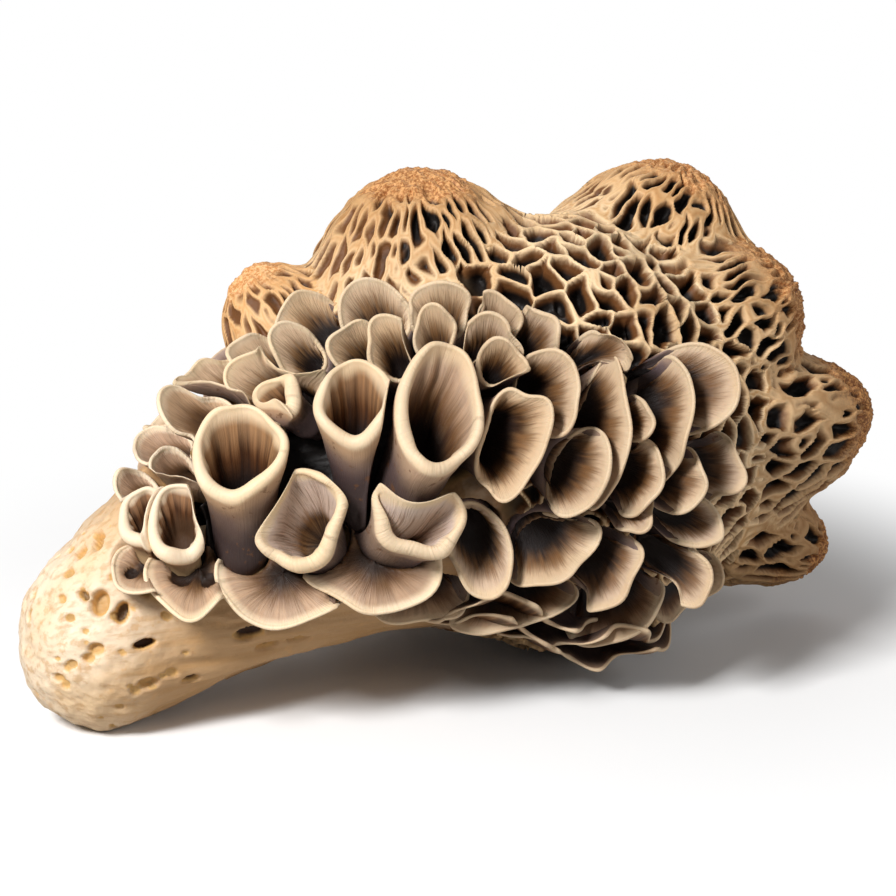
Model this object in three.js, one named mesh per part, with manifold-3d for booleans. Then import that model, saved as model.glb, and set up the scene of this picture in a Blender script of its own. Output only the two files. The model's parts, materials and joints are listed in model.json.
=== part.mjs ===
// A compound morel lying on its side: one grown body that flares from a blunt, pitted stem end
// into a big head, with cup-shaped folds all over the near side and small ridged caps round the
// far top. Millimetres, +Z up. X runs from the stem end (-X) to the crown (+X), -Y is the side
// that carries the cups, and the morel rests on z = 0 on its stem end and on its belly.

import * as THREE from 'three';
import { ParametricGeometry } from 'three/addons/geometries/ParametricGeometry.js';
import { mergeVertices } from 'three/addons/utils/BufferGeometryUtils.js';
import Module from 'manifold-3d';

const wasm = await Module();
wasm.setup();

// ---------------------------------------------------------------- driving dimensions

// The body along its length: station x, height of the centre line, radius of the round section,
// and how much higher than round the section's upper half is.
const BODY = [
  [-80, 14, 0, 0],
  [-77.5, 14, 8.5, 1.5],
  [-68, 13.8, 15, 5],
  [-55, 18.5, 16.8, 8.5],
  [-42, 26, 20, 8],
  [-26, 34, 25.5, 4],
  [-8, 39.5, 31, 0.5],
  [10, 38.5, 36.2, 3.5],
  [25, 37.6, 39, 2.4],
  [38, 37.5, 33, 2.4],
  [50, 38, 23.5, 1],
  [60, 38, 14, 0],
  [65, 38, 0, 0],
];
const BODY_ALONG = 24;
const BODY_AROUND = 20;

// The small caps: centre of the foot, tip of the dome, radius at the foot.
const CAPS = [
  [[-21, 13, 53.4], [-31.4, 18, 71.6], 12.2],
  [[0.4, 10, 61], [-1, 13, 88], 21.4],
  [[42.5, 12, 60], [57.3, 15, 82.6], 19.8],
  [[47, -4, 55.6], [69.2, -1, 62.6], 15.6],
  [[50, -10, 36.5], [85, -3, 38.5], 15.5],
  [[53, -8, 19.5], [76.4, -4, 10.5], 10.4],
  [[12, 26, 54], [17, 45, 67], 15],
  [[38, 24, 38], [49, 49, 41], 16],
  [[12, 26, 26], [14, 52, 20], 14],
  [[-20, 16, 38], [-26, 40, 43], 12],
];
const CAP_AROUND = 14;
const CAP_ALONG = 6;
const CAP_PIT = 1.8; // how far every second point of a cap is pressed in

// Honeycomb pits on the bare top and back of the body.
const PIT_DEPTH = 2;

// Trumpets stand out of the near side. A row is: station x, angle round the body (0 near side,
// 90 top, 180 back), half width across, half width along, turn of the long axis, lean of the
// mouth away from the root, lift of the mouth off the skin, depth, direction of the root.
const TRUMPETS = [
  [-46, 53, 7.0, 8.4, 60, 12, 8.5, 19, -118],
  [-39, 24, 6.4, 8.6, 50, 6, 6.5, 12, -60],
  [-28, 45, 6.0, 7.2, 80, 16, 9, 18, -112],
  [-16, 33, 6.6, 11.0, 62, 14, 9, 19, -140],
  [-21, 9, 7.6, 6.2, 35, 6, 7, 14, -140],
  [-37.5, 62, 3.4, 3.6, 60, 8, 5.5, 8, -60],
  [-60.5, 62, 3.6, 4.8, 75, 2, 3.5, 7, -100],
  [-56, 50, 4.4, 6.2, 75, 2, 4, 8, -100],
];
// Scales overlap like shingles round a middle, each open towards it. A row is: station x, angle,
// half width across, half width along, lift, depth.
const SCALES = [
  // round the stem
  [-48, 78, 7.4, 6.2, 4.5, 10],
  [-54, 66, 5.6, 5, 3.5, 8],
  [-53, 96, 6.4, 5, 1.5, 8],
  [-59, 82, 5.2, 4, 0.8, 6],
  [-37, 68, 7.6, 7.6, 5, 11],
  [-42, 96, 7.2, 5.6, 3.2, 10],
  [-48, 112, 6, 4.8, 1, 8],
  // top rows
  [-31, 78, 4.8, 4.6, 4, 9],
  [-36, 87, 5.2, 4.8, 4, 9],
  [-34, 108, 6, 5, 4, 9],
  [-24, 63, 4.4, 4, 5, 9],
  [-18, 74, 6, 5.6, 4, 9],
  [-26, 89, 6, 5, 4, 9],
  [-9, 63, 5.4, 4.4, 4, 9],
  [-2, 53, 4.8, 3.8, 4, 9],
  [-19, 57, 4.4, 5, 5, 9],
  [-12, 55, 3.8, 4, 5, 9],
  [-5, 46, 4.6, 4.6, 5, 9],
  [-4, 38, 4, 4.6, 5.5, 9],
  [3, 45, 4.6, 4.4, 4, 9],
  [11, 35, 5.6, 5.4, 5, 10],
  // the near side of the head
  [-5, 19, 9.6, 5.4, 6.5, 13],
  [5, 11, 7.8, 5, 6, 12],
  [2, 30, 7.2, 5.8, 6, 12],
  [10, 20, 12, 5.4, 4.5, 11],
  [16, 22, 3.8, 3.4, 5, 7],
  [21, 22, 9.2, 5.6, 4.5, 11],
  [26, 28, 8, 8.6, 4.5, 11],
  [31, 9, 6, 4.4, 4, 9],
  [22, 8, 5.8, 4.8, 5, 9],
  [15, 9, 6.2, 4.4, 5, 9],
  [14, 1, 3.4, 3.6, 5, 8],
  [25, -2, 3.8, 6.6, 4, 9],
  [1, -10, 7.6, 5.8, 4.5, 10],
  [-10, -10, 5.6, 7, 4.5, 10],
  [10, -15, 8, 5.2, 4.5, 10],
  [23, -14, 5, 6.8, 4, 9],
  // under the belly
  [15, -30, 9.5, 4.4, 2.5, 9],
  [-2, -31, 10, 4, 3, 8],
  [-18, -27, 9.5, 4, 2, 8],
  [5, -45, 11, 3.6, 0.2, 8],
  [-11, -44, 9.5, 3.4, 0.8, 7],
  [20, -42, 9.5, 3.2, 0, 7],
  [30, -28, 7, 4, 0.8, 8],
  // the hidden underside and back
  [-46, 150, 6, 5.4, 3.5, 8],
  [-34, 136, 6.4, 5.6, 4, 9],
  [-36, 166, 6.4, 5.8, 4, 9],
  [-48, 182, 6, 5, 3, 7],
  [-38, 200, 6, 5.6, 3, 8],
  [-24, 184, 6.8, 6.4, 4, 9],
  [-24, 212, 6.4, 6, 3.5, 8],
  [-9, 192, 7, 6.6, 4, 9],
  [-10, 218, 6.8, 6, 3.5, 8],
  [5, 208, 6.8, 6, 4, 9],
  [20, 214, 6.6, 6, 4, 9],
  [22, 192, 6.8, 6, 4, 9],
  [36, 204, 6.4, 5.6, 3.5, 8],
];
// Petals hang down over the stem: station x, angle, half widths, turn, lift, depth.
const PETALS = [
  [-62, 44, 5.4, 6.4, -105, 1.6, 4],
  [-54, 30, 7.6, 9, -100, 2.4, 5],
  [-42, 9, 11, 8.6, -85, 3.2, 5.5],
  [-27, -3, 10.6, 8.6, -85, 4, 6],
];
const NEAR_MIDDLE = [-16, 30];  // station and angle that the near scales open towards
const BACK_MIDDLE = [-8, 195];  // the same for those on the back
const LEAN = 0.9;               // degrees that a scale leans in for each mm from its middle
const MOST_LEAN = 34;
const DROP = 0.42;              // how far down the tube the near rim of a scale is sunk
const CUP_AROUND = 7;   // sides of a wide cup
const SMALL_AROUND = 5; // sides of a narrow one
const WIDE_CUP = 6;     // half width from which a cup counts as wide
const WALL = 1.7;       // thickness of a cup's wall
const TUBE = { trumpet: 0.85, scale: 0.5, petal: 0.6 }; // width of the tube against its mouth

const FLOOR = 0;      // height of the flat resting faces
const FINEST = 0.05;  // the smallest detail kept where surfaces meet

// ---------------------------------------------------------------- helpers

const vec = (x, y, z) => new THREE.Vector3(x, y, z);
const rad = THREE.MathUtils.degToRad;
const smooth = THREE.MathUtils.smoothstep;

// A closed geometry as a solid, with its equal corners made one.
function solidFrom(geometry) {
  const bare = geometry.clone();
  bare.deleteAttribute('normal');
  bare.deleteAttribute('uv');
  const merged = mergeVertices(bare, 1e-3);
  const corners = merged.index.array;
  const triangles = [];
  for (let i = 0; i < corners.length; i += 3) {
    const [a, b, c] = corners.slice(i, i + 3);
    if (a !== b && b !== c && c !== a) {
      triangles.push(a, b, c);
    }
  }
  const build = (order) => new wasm.Manifold(new wasm.Mesh({
    numProp: 3,
    vertProperties: new Float32Array(merged.attributes.position.array),
    triVerts: new Uint32Array(order),
  }));
  const solid = build(triangles);
  return solid.volume() > 0 ? solid : build(triangles.reverse());
}

// A closed surface given by a function of (u round, v along). Both ends come to a point.
function surfaceSolid(surface, around, along) {
  return solidFrom(new ParametricGeometry(surface, around, along));
}

// A solid's skin as a geometry.
function geometryOf(solid) {
  const { vertProperties, triVerts } = solid.getMesh();
  const geometry = new THREE.BufferGeometry();
  geometry.setAttribute('position', new THREE.BufferAttribute(new Float32Array(vertProperties), 3));
  geometry.setIndex(new THREE.BufferAttribute(new Uint32Array(triVerts), 1));
  return geometry;
}

// The outer skin of a solid alone, without loose slivers and sealed pockets.
function outerSkin(solid) {
  return solid.decompose().sort((a, b) => b.volume() - a.volume())[0];
}

// Centre height, radius and extra height of the body at a station.
const curveOf = (rows) => new THREE.CatmullRomCurve3(rows, false, 'catmullrom', 0.5);
const spine = curveOf(BODY.map(([x, z, r]) => vec(x, z, r)));
const ridge = curveOf(BODY.map(([x, z, r, top]) => vec(x, top, 0)));
const spineRows = spine.getPoints(600);
const ridgeRows = ridge.getPoints(600);

function sectionAt(x) {
  const next = spineRows.findIndex((row) => row.x >= x);
  const i = Math.min(Math.max(next, 1), spineRows.length - 1);
  const t = (x - spineRows[i - 1].x) / (spineRows[i].x - spineRows[i - 1].x);
  const row = spineRows[i - 1].clone().lerp(spineRows[i], THREE.MathUtils.clamp(t, 0, 1));
  return { z: row.y, r: row.z, top: ridgeRows[i].y };
}

// A point of a section at an angle round it: 0 is the near side and 90 the top.
function sectionPoint({ z, r, top }, x, angle, lift) {
  const up = Math.sin(rad(angle));
  return vec(x, -(r + lift) * Math.cos(rad(angle)), z + (r + lift + top * Math.max(up, 0)) * up);
}

// A point of the body's skin, lifted off it.
function skin(x, angle, lift = 0) {
  return sectionPoint(sectionAt(x), x, angle, lift);
}

// ---------------------------------------------------------------- body

function bodySurface(u, v, target) {
  const row = spine.getPoint(v);
  const i = Math.round(u * BODY_AROUND) % BODY_AROUND;
  const j = Math.round(v * BODY_ALONG);
  const angle = 360 * (i / BODY_AROUND) - 90;
  const bare = smooth(angle, 60, 90) * (1 - smooth(angle, 190, 215)) * smooth(row.x, 8, 20);
  const pit = (i + j) % 2 ? PIT_DEPTH * bare : 0;
  const section = { z: row.y, r: Math.max(row.z, 0), top: Math.max(ridge.getPoint(v).y, 0) };
  target.copy(sectionPoint(section, row.x, angle, -pit));
}

// ---------------------------------------------------------------- caps

function capSurface([foot, tip, width]) {
  const base = vec(...foot);
  const axis = vec(...tip).sub(base);
  const height = axis.length();
  axis.normalize();
  const side = vec(0.1, 1, 0).cross(axis).normalize();
  const other = axis.clone().cross(side);
  return (u, v, target) => {
    const i = Math.round(u * CAP_AROUND) % CAP_AROUND;
    const j = Math.round(v * CAP_ALONG);
    const pressed = j > 1 && j < CAP_ALONG - 1 && (i + j) % 2 ? CAP_PIT : 0;
    // v below the first step is the buried foot, which closes on the axis
    const climb = Math.max(v - 1 / CAP_ALONG, 0) / (1 - 1 / CAP_ALONG) * Math.PI / 2;
    const spread = j === 0 ? 0 : (width - pressed) * Math.cos(climb) ** 0.8;
    const turn = (i + (j % 2) / 2) / CAP_AROUND * 2 * Math.PI;
    target.copy(base)
      .addScaledVector(axis, j === 0 ? -0.2 * width : height * Math.sin(climb))
      .addScaledVector(side, spread * Math.cos(turn))
      .addScaledVector(other, spread * Math.sin(turn));
  };
}

// ---------------------------------------------------------------- cups

// Rows of a cup's section: place along the tube (0 root, 1 mouth) and share of the mouth's width.
// The outside runs up to the lip and the hollow runs back down inside the wall.
const outside = (tube) => [[0, 0], [0.2, tube], [1, 1], [1, 0]];
const HOLLOW = [[1.02, 0], [1.02, 1], [0.3, 0.3], [0.3, 0]];

// The tube's path, the axes of its mouth and its rank: a cup of lower rank lies over the others.
function cupFrame(kind, row) {
  const [x, angle, across, along] = row;
  const middle = angle < 130 ? NEAR_MIDDLE : BACK_MIDDLE;
  const ahead = x - middle[0];
  const aside = rad(angle - middle[1]) * sectionAt((x + middle[0]) / 2).r;
  const far = Math.hypot(ahead, aside);
  const trumpet = kind === 'trumpet';
  const [lift, depth] = trumpet ? row.slice(6, 8) : row.slice(-2);
  const turn = kind === 'scale' ? Math.atan2(aside, ahead) * 180 / Math.PI : row[4];
  const from = trumpet ? row[8] : turn + 180;
  const lean = trumpet ? -row[5] : Math.min(LEAN * far, MOST_LEAN);

  const mouth = skin(x, angle, lift);
  const forward = skin(x + 0.5, angle).sub(skin(x - 0.5, angle)).normalize();
  const round = skin(x, angle + 1).sub(skin(x, angle - 1)).normalize();
  const out = forward.clone().cross(round).normalize();
  const heading = (degrees) => forward.clone().multiplyScalar(Math.cos(rad(degrees)))
    .addScaledVector(round, Math.sin(rad(degrees)));
  const facing = out.clone().multiplyScalar(Math.cos(rad(lean)))
    .addScaledVector(heading(from), Math.sin(rad(lean)));
  const wide = heading(turn).cross(facing).normalize();
  const tall = facing.clone().cross(wide);

  const shift = trumpet ? 0.95 : 0.8;
  const root = mouth.clone()
    .addScaledVector(out, trumpet ? -0.85 * depth : -depth - 3)
    .addScaledVector(heading(from), shift * depth);
  const bend = mouth.clone()
    .addScaledVector(facing, -0.55 * depth)
    .addScaledVector(heading(from), 0.4 * shift * depth);
  return {
    path: new THREE.QuadraticBezierCurve3(root, bend, mouth),
    wide,
    tall,
    facing,
    across,
    along,
    tube: TUBE[kind],
    rise: trumpet ? 0.3 : 1.2,
    drop: trumpet ? 0 : DROP * smooth(x, -46, -20) * smooth(far, 8, 34),
    sides: Math.max(across, along) < WIDE_CUP ? SMALL_AROUND : CUP_AROUND,
    rank: trumpet ? -2 * depth : far,
  };
}

function cupSurface(frame, rows, inset) {
  return (u, v, target) => {
    const [place, share] = rows[Math.round(v * (rows.length - 1))];
    const turn = (Math.round(u * frame.sides) % frame.sides / frame.sides + 0.25) * 2 * Math.PI;
    const far = Math.sin(turn);
    const past = Math.max(place - 1, 0) * 40;
    const rim = share === 1 ? frame.rise * far : 0;
    const sunk = place < 0.5 ? 0 : frame.drop * (share === 1 ? ((1 - far) / 2) ** 1.3 : 0.3);
    const centre = frame.path.getPoint(Math.min(place, 1) - sunk);
    const a = share === 0 ? 0 : frame.across * share - inset;
    const b = share === 0 ? 0 : frame.along * share - inset;
    target.copy(centre)
      .addScaledVector(frame.facing, past + rim)
      .addScaledVector(frame.wide, a * Math.cos(turn))
      .addScaledVector(frame.tall, b * far);
  };
}

// ---------------------------------------------------------------- joining

let morel = surfaceSolid(bodySurface, BODY_AROUND, BODY_ALONG);
for (const cap of CAPS) {
  morel = morel.add(surfaceSolid(capSurface(cap), CAP_AROUND, CAP_ALONG));
}

// The cups overlap, each over the ones farther from the middle. So they are added from the
// outermost inward, and each one's hollow is cleared before the next is added.
const cups = [
  ...TRUMPETS.map((row) => cupFrame('trumpet', row)),
  ...SCALES.map((row) => cupFrame('scale', row)),
  ...PETALS.map((row) => cupFrame('petal', row)),
].sort((a, b) => b.rank - a.rank);
for (const cup of cups) {
  const rows = outside(cup.tube);
  morel = morel
    .add(surfaceSolid(cupSurface(cup, rows, -WALL / 2), cup.sides, rows.length - 1))
    .subtract(surfaceSolid(cupSurface(cup, HOLLOW, WALL / 2), cup.sides, HOLLOW.length - 1));
}

// The resting faces: everything below the floor is cut away.
const below = new THREE.BoxGeometry(400, 400, 40);
below.translate(0, 0, FLOOR - 20);
morel = outerSkin(morel.subtract(solidFrom(below)).simplify(FINEST));

// The part is centred over its footprint, and points that only touch are parted.
const box = morel.boundingBox();
const middle = [0, 1].map((i) => (box.min[i] + box.max[i]) / 2);
morel = outerSkin(solidFrom(geometryOf(morel.translate([-middle[0], -middle[1], -box.min[2]]))));

// ---------------------------------------------------------------- mesh

const mesh = new THREE.Mesh(
  geometryOf(morel),
  new THREE.MeshStandardMaterial({ color: 0xd9c3a0, roughness: 0.7, metalness: 0 }),
);
mesh.geometry.computeVertexNormals();
mesh.name = 'morel';

const group = new THREE.Group();
group.add(mesh);

export default group;
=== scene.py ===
# %% [markdown]
# # A compound morel, grown from numpy surfaces
#
# A compound morel is one body with three kinds of skin. A smooth pitted stem swells into the head.
# Round the far top, small caps stand out of the head, all covered with honeycomb pits between thin
# ridges. The near side carries dozens of open cups that overlap like scales.
#
# Such a form could be sculpted by hand. Here every piece is a formula on a grid of two parameters, so
# that each station, angle and thickness is a number that can be read and changed.
#
# Everything is written in millimetres in the *growing frame*: x runs from the stem end to the crown,
# z is up, and the cups are on the -y side. The last step of each piece moves it to the row's frame.

# %% Load the frame
import json
import math

import bpy
import numpy as np
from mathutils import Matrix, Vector

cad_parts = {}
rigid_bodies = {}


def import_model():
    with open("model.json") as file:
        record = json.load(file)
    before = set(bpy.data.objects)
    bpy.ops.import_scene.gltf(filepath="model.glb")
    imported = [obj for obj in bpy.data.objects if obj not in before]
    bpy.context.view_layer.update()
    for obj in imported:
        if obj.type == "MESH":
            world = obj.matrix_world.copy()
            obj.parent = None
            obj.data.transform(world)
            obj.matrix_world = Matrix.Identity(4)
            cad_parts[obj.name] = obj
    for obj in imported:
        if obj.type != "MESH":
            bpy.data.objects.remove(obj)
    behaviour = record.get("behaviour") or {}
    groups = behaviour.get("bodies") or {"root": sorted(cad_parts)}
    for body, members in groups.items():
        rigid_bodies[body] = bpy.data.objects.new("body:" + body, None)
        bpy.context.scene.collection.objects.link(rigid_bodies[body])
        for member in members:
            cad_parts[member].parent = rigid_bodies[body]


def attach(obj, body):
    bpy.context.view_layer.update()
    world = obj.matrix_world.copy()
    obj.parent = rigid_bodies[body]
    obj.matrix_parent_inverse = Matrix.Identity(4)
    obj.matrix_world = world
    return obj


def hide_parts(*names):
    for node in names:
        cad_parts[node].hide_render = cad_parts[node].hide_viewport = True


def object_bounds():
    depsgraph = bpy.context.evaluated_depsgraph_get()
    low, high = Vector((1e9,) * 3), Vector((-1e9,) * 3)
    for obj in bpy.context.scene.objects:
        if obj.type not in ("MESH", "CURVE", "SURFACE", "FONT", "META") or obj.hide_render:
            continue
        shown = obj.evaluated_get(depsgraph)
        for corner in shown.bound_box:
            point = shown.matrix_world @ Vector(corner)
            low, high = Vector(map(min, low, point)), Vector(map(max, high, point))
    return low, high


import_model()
cad_low, cad_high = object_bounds()
print("CAD box, mm:", [round(1000 * (b - a), 1) for a, b in zip(cad_low, cad_high)])

# %% [markdown]
# ## The growing plan
#
# The body is a lofted tube: a row of sections, each with its station, the height of the centre line, the
# radius, and how much higher than round the upper half is. A cap is a foot, a tip and a radius. A few
# driving numbers like these are easier to fit than a cage of vertices.

# %% The plan of body and caps
BODY = np.array([
    [-80, 14, 0, 0],
    [-77.5, 14, 8.5, 1.5],
    [-68, 13.8, 15, 5],
    [-55, 18.5, 16.8, 8.5],
    [-42, 26, 20, 8],
    [-26, 34, 25.5, 4],
    [-8, 39.5, 31, 0.5],
    [10, 38.5, 36.2, 3.5],
    [25, 37.6, 39, 2.4],
    [38, 37.5, 33, 2.4],
    [50, 38, 23.5, 1],
    [60, 38, 14, 0],
    [65, 38, 0, 0],
], float)

# foot, tip, radius, columns and rows of the mesh, tip colour (0 peach, 1 brown), pit depth, tip size
CAPS = [
    ((-21, 13, 53.4), (-31.4, 18, 71.6), 12.2, 220, 78, 0.05, 0.38, 11),
    ((0.4, 10, 61), (-1, 13, 88), 21.4, 350, 120, 0.64, 1, 15),
    ((42.5, 12, 60), (57.3, 15, 82.6), 19.8, 320, 114, 0.5, 1, 17),
    ((47, -4, 55.6), (69.2, -1, 62.6), 15.6, 300, 100, 0.6, 1, 24),
    ((50, -10, 36.5), (85, -3, 38.5), 15.5, 310, 108, 0.9, 1, 28),
    ((53, -8, 19.5), (76.4, -4, 10.5), 10.4, 200, 76, 1, 1, 21),
    ((12, 26, 54), (17, 45, 67), 15, 130, 48, 0.4, 1, 8),
    ((38, 24, 38), (49, 49, 41), 16, 130, 48, 0.6, 1, 8),
    ((12, 26, 26), (14, 52, 20), 14, 130, 48, 0.5, 1, 8),
    ((-20, 16, 38), (-26, 40, 43), 12, 130, 48, 0.3, 1, 8),
]
MIDDLE = np.array([2.5, 52 - 1000 * cad_high[1], 0])  # middle of the footprint in the growing frame
print("body sections:", len(BODY), "and caps:", len(CAPS))

# %% [markdown]
# ## Small tools
#
# Grown things have soft changes and small unevenness everywhere. A smooth step goes from 0 to 1 between
# two limits with level ends. Value noise is a random number at each corner of a grid of cubes, blended
# smoothly in between; it is worked out from the corner's place, so it needs no table and never changes.

# %% Steps and noise
def step(low, high, value):
    """Smooth step: t*t*(3 - 2*t) with t the value's place between low and high, kept in 0..1."""
    t = np.clip((value - low) / (high - low), 0, 1)
    return t * t * (3 - 2 * t)


def noise(points, size, seed=0):
    """Value noise in -1..1 that changes over a distance of size: the sum over a cube's corners of a
    hash of the corner times smooth weights that are 1 there and 0 at the others."""
    place = np.asarray(points) / size + 31.7 * seed
    cell = np.floor(place).astype(np.int64)
    part = place - cell
    part = part * part * (3 - 2 * part)
    total = 0
    for corner in range(8):
        side = np.array([corner & 1, corner >> 1 & 1, corner >> 2])
        number = (cell + side) @ np.array([374761393, 668265263, 1274126177])
        number = (number ^ (number >> 13)) * 1274126177
        value = ((number ^ (number >> 16)) & 0xFFFF) / 32767.5 - 1
        total = total + value * np.prod(np.where(side, part, 1 - part), axis=-1)
    return total


def rough(points, size, seed=0, layers=3):
    """Noise in layers, each half the size and half the height of the one before."""
    return sum(noise(points, size / 2**k, seed + k) / 2**k for k in range(layers))


def unit(vectors):
    """The vectors at length 1."""
    return vectors / np.maximum(np.linalg.norm(vectors, axis=-1, keepdims=True), 1e-12)


print("noise along x:", noise(np.arange(4)[:, None] * [1.0, 0, 0], 5).round(2).tolist())

# %% [markdown]
# ## Closed grids
#
# Each piece is a grid whose columns run round it, with its two ends drawn together to a point by a fan
# of triangles. A plain sheet would be quicker to make, but only a closed form has an inside, and so a
# thickness. The sign of its volume says which way its faces point, and they are turned outward.

# %% Grids
def grid_normals(grid, outward):
    """Normals of a grid of points: the cross product of its two directions, turned outward."""
    along = np.gradient(grid, axis=0)
    around = np.roll(grid, -1, axis=1) - np.roll(grid, 1, axis=1)
    normal = unit(np.cross(along, around))
    return normal * np.sign(np.sum(normal * outward, axis=-1, keepdims=True) + 1e-12)


def closed_piece(name, grid, values, material):
    """A closed mesh from a grid of points (rows, columns, 3) in mm, with one value list per name."""
    rows, columns = grid.shape[:2]
    points = np.concatenate([grid.reshape(-1, 3), [grid[0].mean(0)], [grid[-1].mean(0)]])
    i, j = np.meshgrid(np.arange(rows - 1), np.arange(columns), indexing="ij")
    k = (j + 1) % columns
    quads = np.stack([i * columns + j, i * columns + k, (i + 1) * columns + k, (i + 1) * columns + j], -1)
    quads = quads.reshape(-1, 4)
    ring = np.arange(columns)
    after = np.roll(ring, -1)
    last = (rows - 1) * columns
    first_fan = np.stack([np.full(columns, rows * columns), after, ring], -1)
    last_fan = np.stack([np.full(columns, rows * columns + 1), last + ring, last + after], -1)
    a, b, c, d = (points[quads[:, n]] for n in range(4))
    volume = np.sum(np.cross(a, b) * c) + np.sum(np.cross(a, c) * d)
    flip = slice(None, None, -1) if volume < 0 else slice(None)
    faces = quads[:, flip].tolist() + first_fan[:, flip].tolist() + last_fan[:, flip].tolist()
    mesh = bpy.data.meshes.new(name)
    mesh.from_pydata(((points - MIDDLE) / 1000).tolist(), [], faces)
    mesh.polygons.foreach_set("use_smooth", np.ones(len(mesh.polygons), bool))
    for key, value in values.items():
        flat = np.broadcast_to(value, (rows, columns)).reshape(-1)
        full = np.concatenate([flat, [flat[:columns].mean(), flat[-columns:].mean()]])
        mesh.attributes.new(key, "FLOAT", "POINT").data.foreach_set("value", full.astype(np.float32))
    mesh.materials.append(material)
    piece = bpy.data.objects.new(name, mesh)
    bpy.context.collection.objects.link(piece)
    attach(piece, "root")
    return piece


turn = np.arange(8) * np.pi / 4
trial = np.stack([np.zeros(8), np.cos(turn), np.sin(turn)], -1) + np.arange(3)[:, None, None] * [1, 0, 0]
print("normal on a trial tube's near side:", (grid_normals(trial, trial)[1, 4].round(2) + 0).tolist())

# %% [markdown]
# ## Shader graphs
#
# A finish is a graph of nodes. Making and linking each one by hand takes several lines, so a small class
# wraps a node's output and shader maths reads like ordinary maths. One method makes any other node.

# %% Shader helpers
class Wire:
    """One output of a shader node. Sums and products of wires are new Math nodes."""

    def __init__(self, graph, socket):
        self.graph, self.socket = graph, socket

    def math(self, kind, *others, clamp=False):
        """A Math node of a kind, with the wire and the others as its inputs."""
        node = self.graph.tree.nodes.new("ShaderNodeMath")
        node.operation, node.use_clamp = kind, clamp
        for place, value in enumerate((self, *others)):
            self.graph.join(value, node.inputs[place])
        return Wire(self.graph, node.outputs[0])

    def __add__(self, other):
        return self.math("ADD", other)

    def __sub__(self, other):
        return self.math("SUBTRACT", other)

    def __rsub__(self, other):
        return (self * -1) + other

    def __mul__(self, other):
        return self.math("MULTIPLY", other)

    __radd__, __rmul__ = __add__, __mul__

    def clip(self):
        """The value kept in 0..1."""
        return self.math("ADD", 0, clamp=True)

    def ramp(self, low, high):
        """Smooth step of the wire between two limits, as a Map Range node."""
        node = self.graph.tree.nodes.new("ShaderNodeMapRange")
        node.interpolation_type = "SMOOTHSTEP"
        for key, value in {"Value": self, "From Min": low, "From Max": high}.items():
            self.graph.join(value, node.inputs[key])
        return Wire(self.graph, node.outputs["Result"])


class Graph:
    """A material's node graph."""

    def __init__(self, name):
        self.material = bpy.data.materials.new(name)
        self.material.use_nodes = True
        self.tree = self.material.node_tree
        self.tree.nodes.clear()

    def join(self, value, socket):
        """Connects a wire to a socket, or sets the socket to a constant."""
        if isinstance(value, Wire):
            self.tree.links.new(value.socket, socket)
        else:
            socket.default_value = value

    def node(self, kind, output=0, inputs=(), **settings):
        """Any other node: its kind, which output is wanted, its inputs and its settings."""
        node = self.tree.nodes.new(kind)
        for key, value in settings.items():
            setattr(node, key, value)
        for key, value in dict(inputs).items():
            self.join(value, node.inputs[key])
        return Wire(self, node.outputs[output])

    def value(self, name):
        """A per-vertex value of the mesh."""
        return self.node("ShaderNodeAttribute", "Fac", attribute_name=name)

    def place(self):
        """Object coordinates, in metres."""
        return self.node("ShaderNodeTexCoord", "Object")

    def scaled(self, vector, x, y, z):
        """A vector with each coordinate multiplied."""
        return self.node("ShaderNodeVectorMath", 0, {0: vector, 1: (x, y, z)}, operation="MULTIPLY")

    def noise(self, vector, scale, detail=4.0, roughness=0.55):
        """A Noise Texture in 0..1."""
        inputs = {"Vector": vector, "Scale": scale, "Detail": detail, "Roughness": roughness}
        return self.node("ShaderNodeTexNoise", 0, inputs)

    def mix(self, share, first, second):
        """Colour mix: first where share is 0, second where it is 1."""
        node = self.tree.nodes.new("ShaderNodeMix")
        node.data_type = "RGBA"
        for place, value in ((0, share), (6, first), (7, second)):
            self.join((*value, 1) if isinstance(value, tuple) else value, node.inputs[place])
        return Wire(self, node.outputs[2])

    def skin(self, colour, roughness, height, strength, flesh=0.12):
        """The flesh: a Principled surface with a little light under the skin and a bump from height."""
        bump = self.node("ShaderNodeBump", 0, {"Height": height, "Strength": strength, "Distance": 0.0006})
        inputs = {
            "Base Color": colour,
            "Roughness": roughness,
            "Normal": bump,
            "Specular IOR Level": 0.35,
            "Subsurface Weight": flesh,
            "Subsurface Scale": 0.002,
            "Subsurface Radius": (1.0, 0.5, 0.25),
        }
        surface = self.node("ShaderNodeBsdfPrincipled", 0, inputs)
        self.node_out(surface)
        return self.material

    def node_out(self, surface):
        """The material's output."""
        out = self.tree.nodes.new("ShaderNodeOutputMaterial")
        self.join(surface, out.inputs["Surface"])


print("a graph can make:", [name for name in vars(Graph) if name[0] != "_"])
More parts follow.
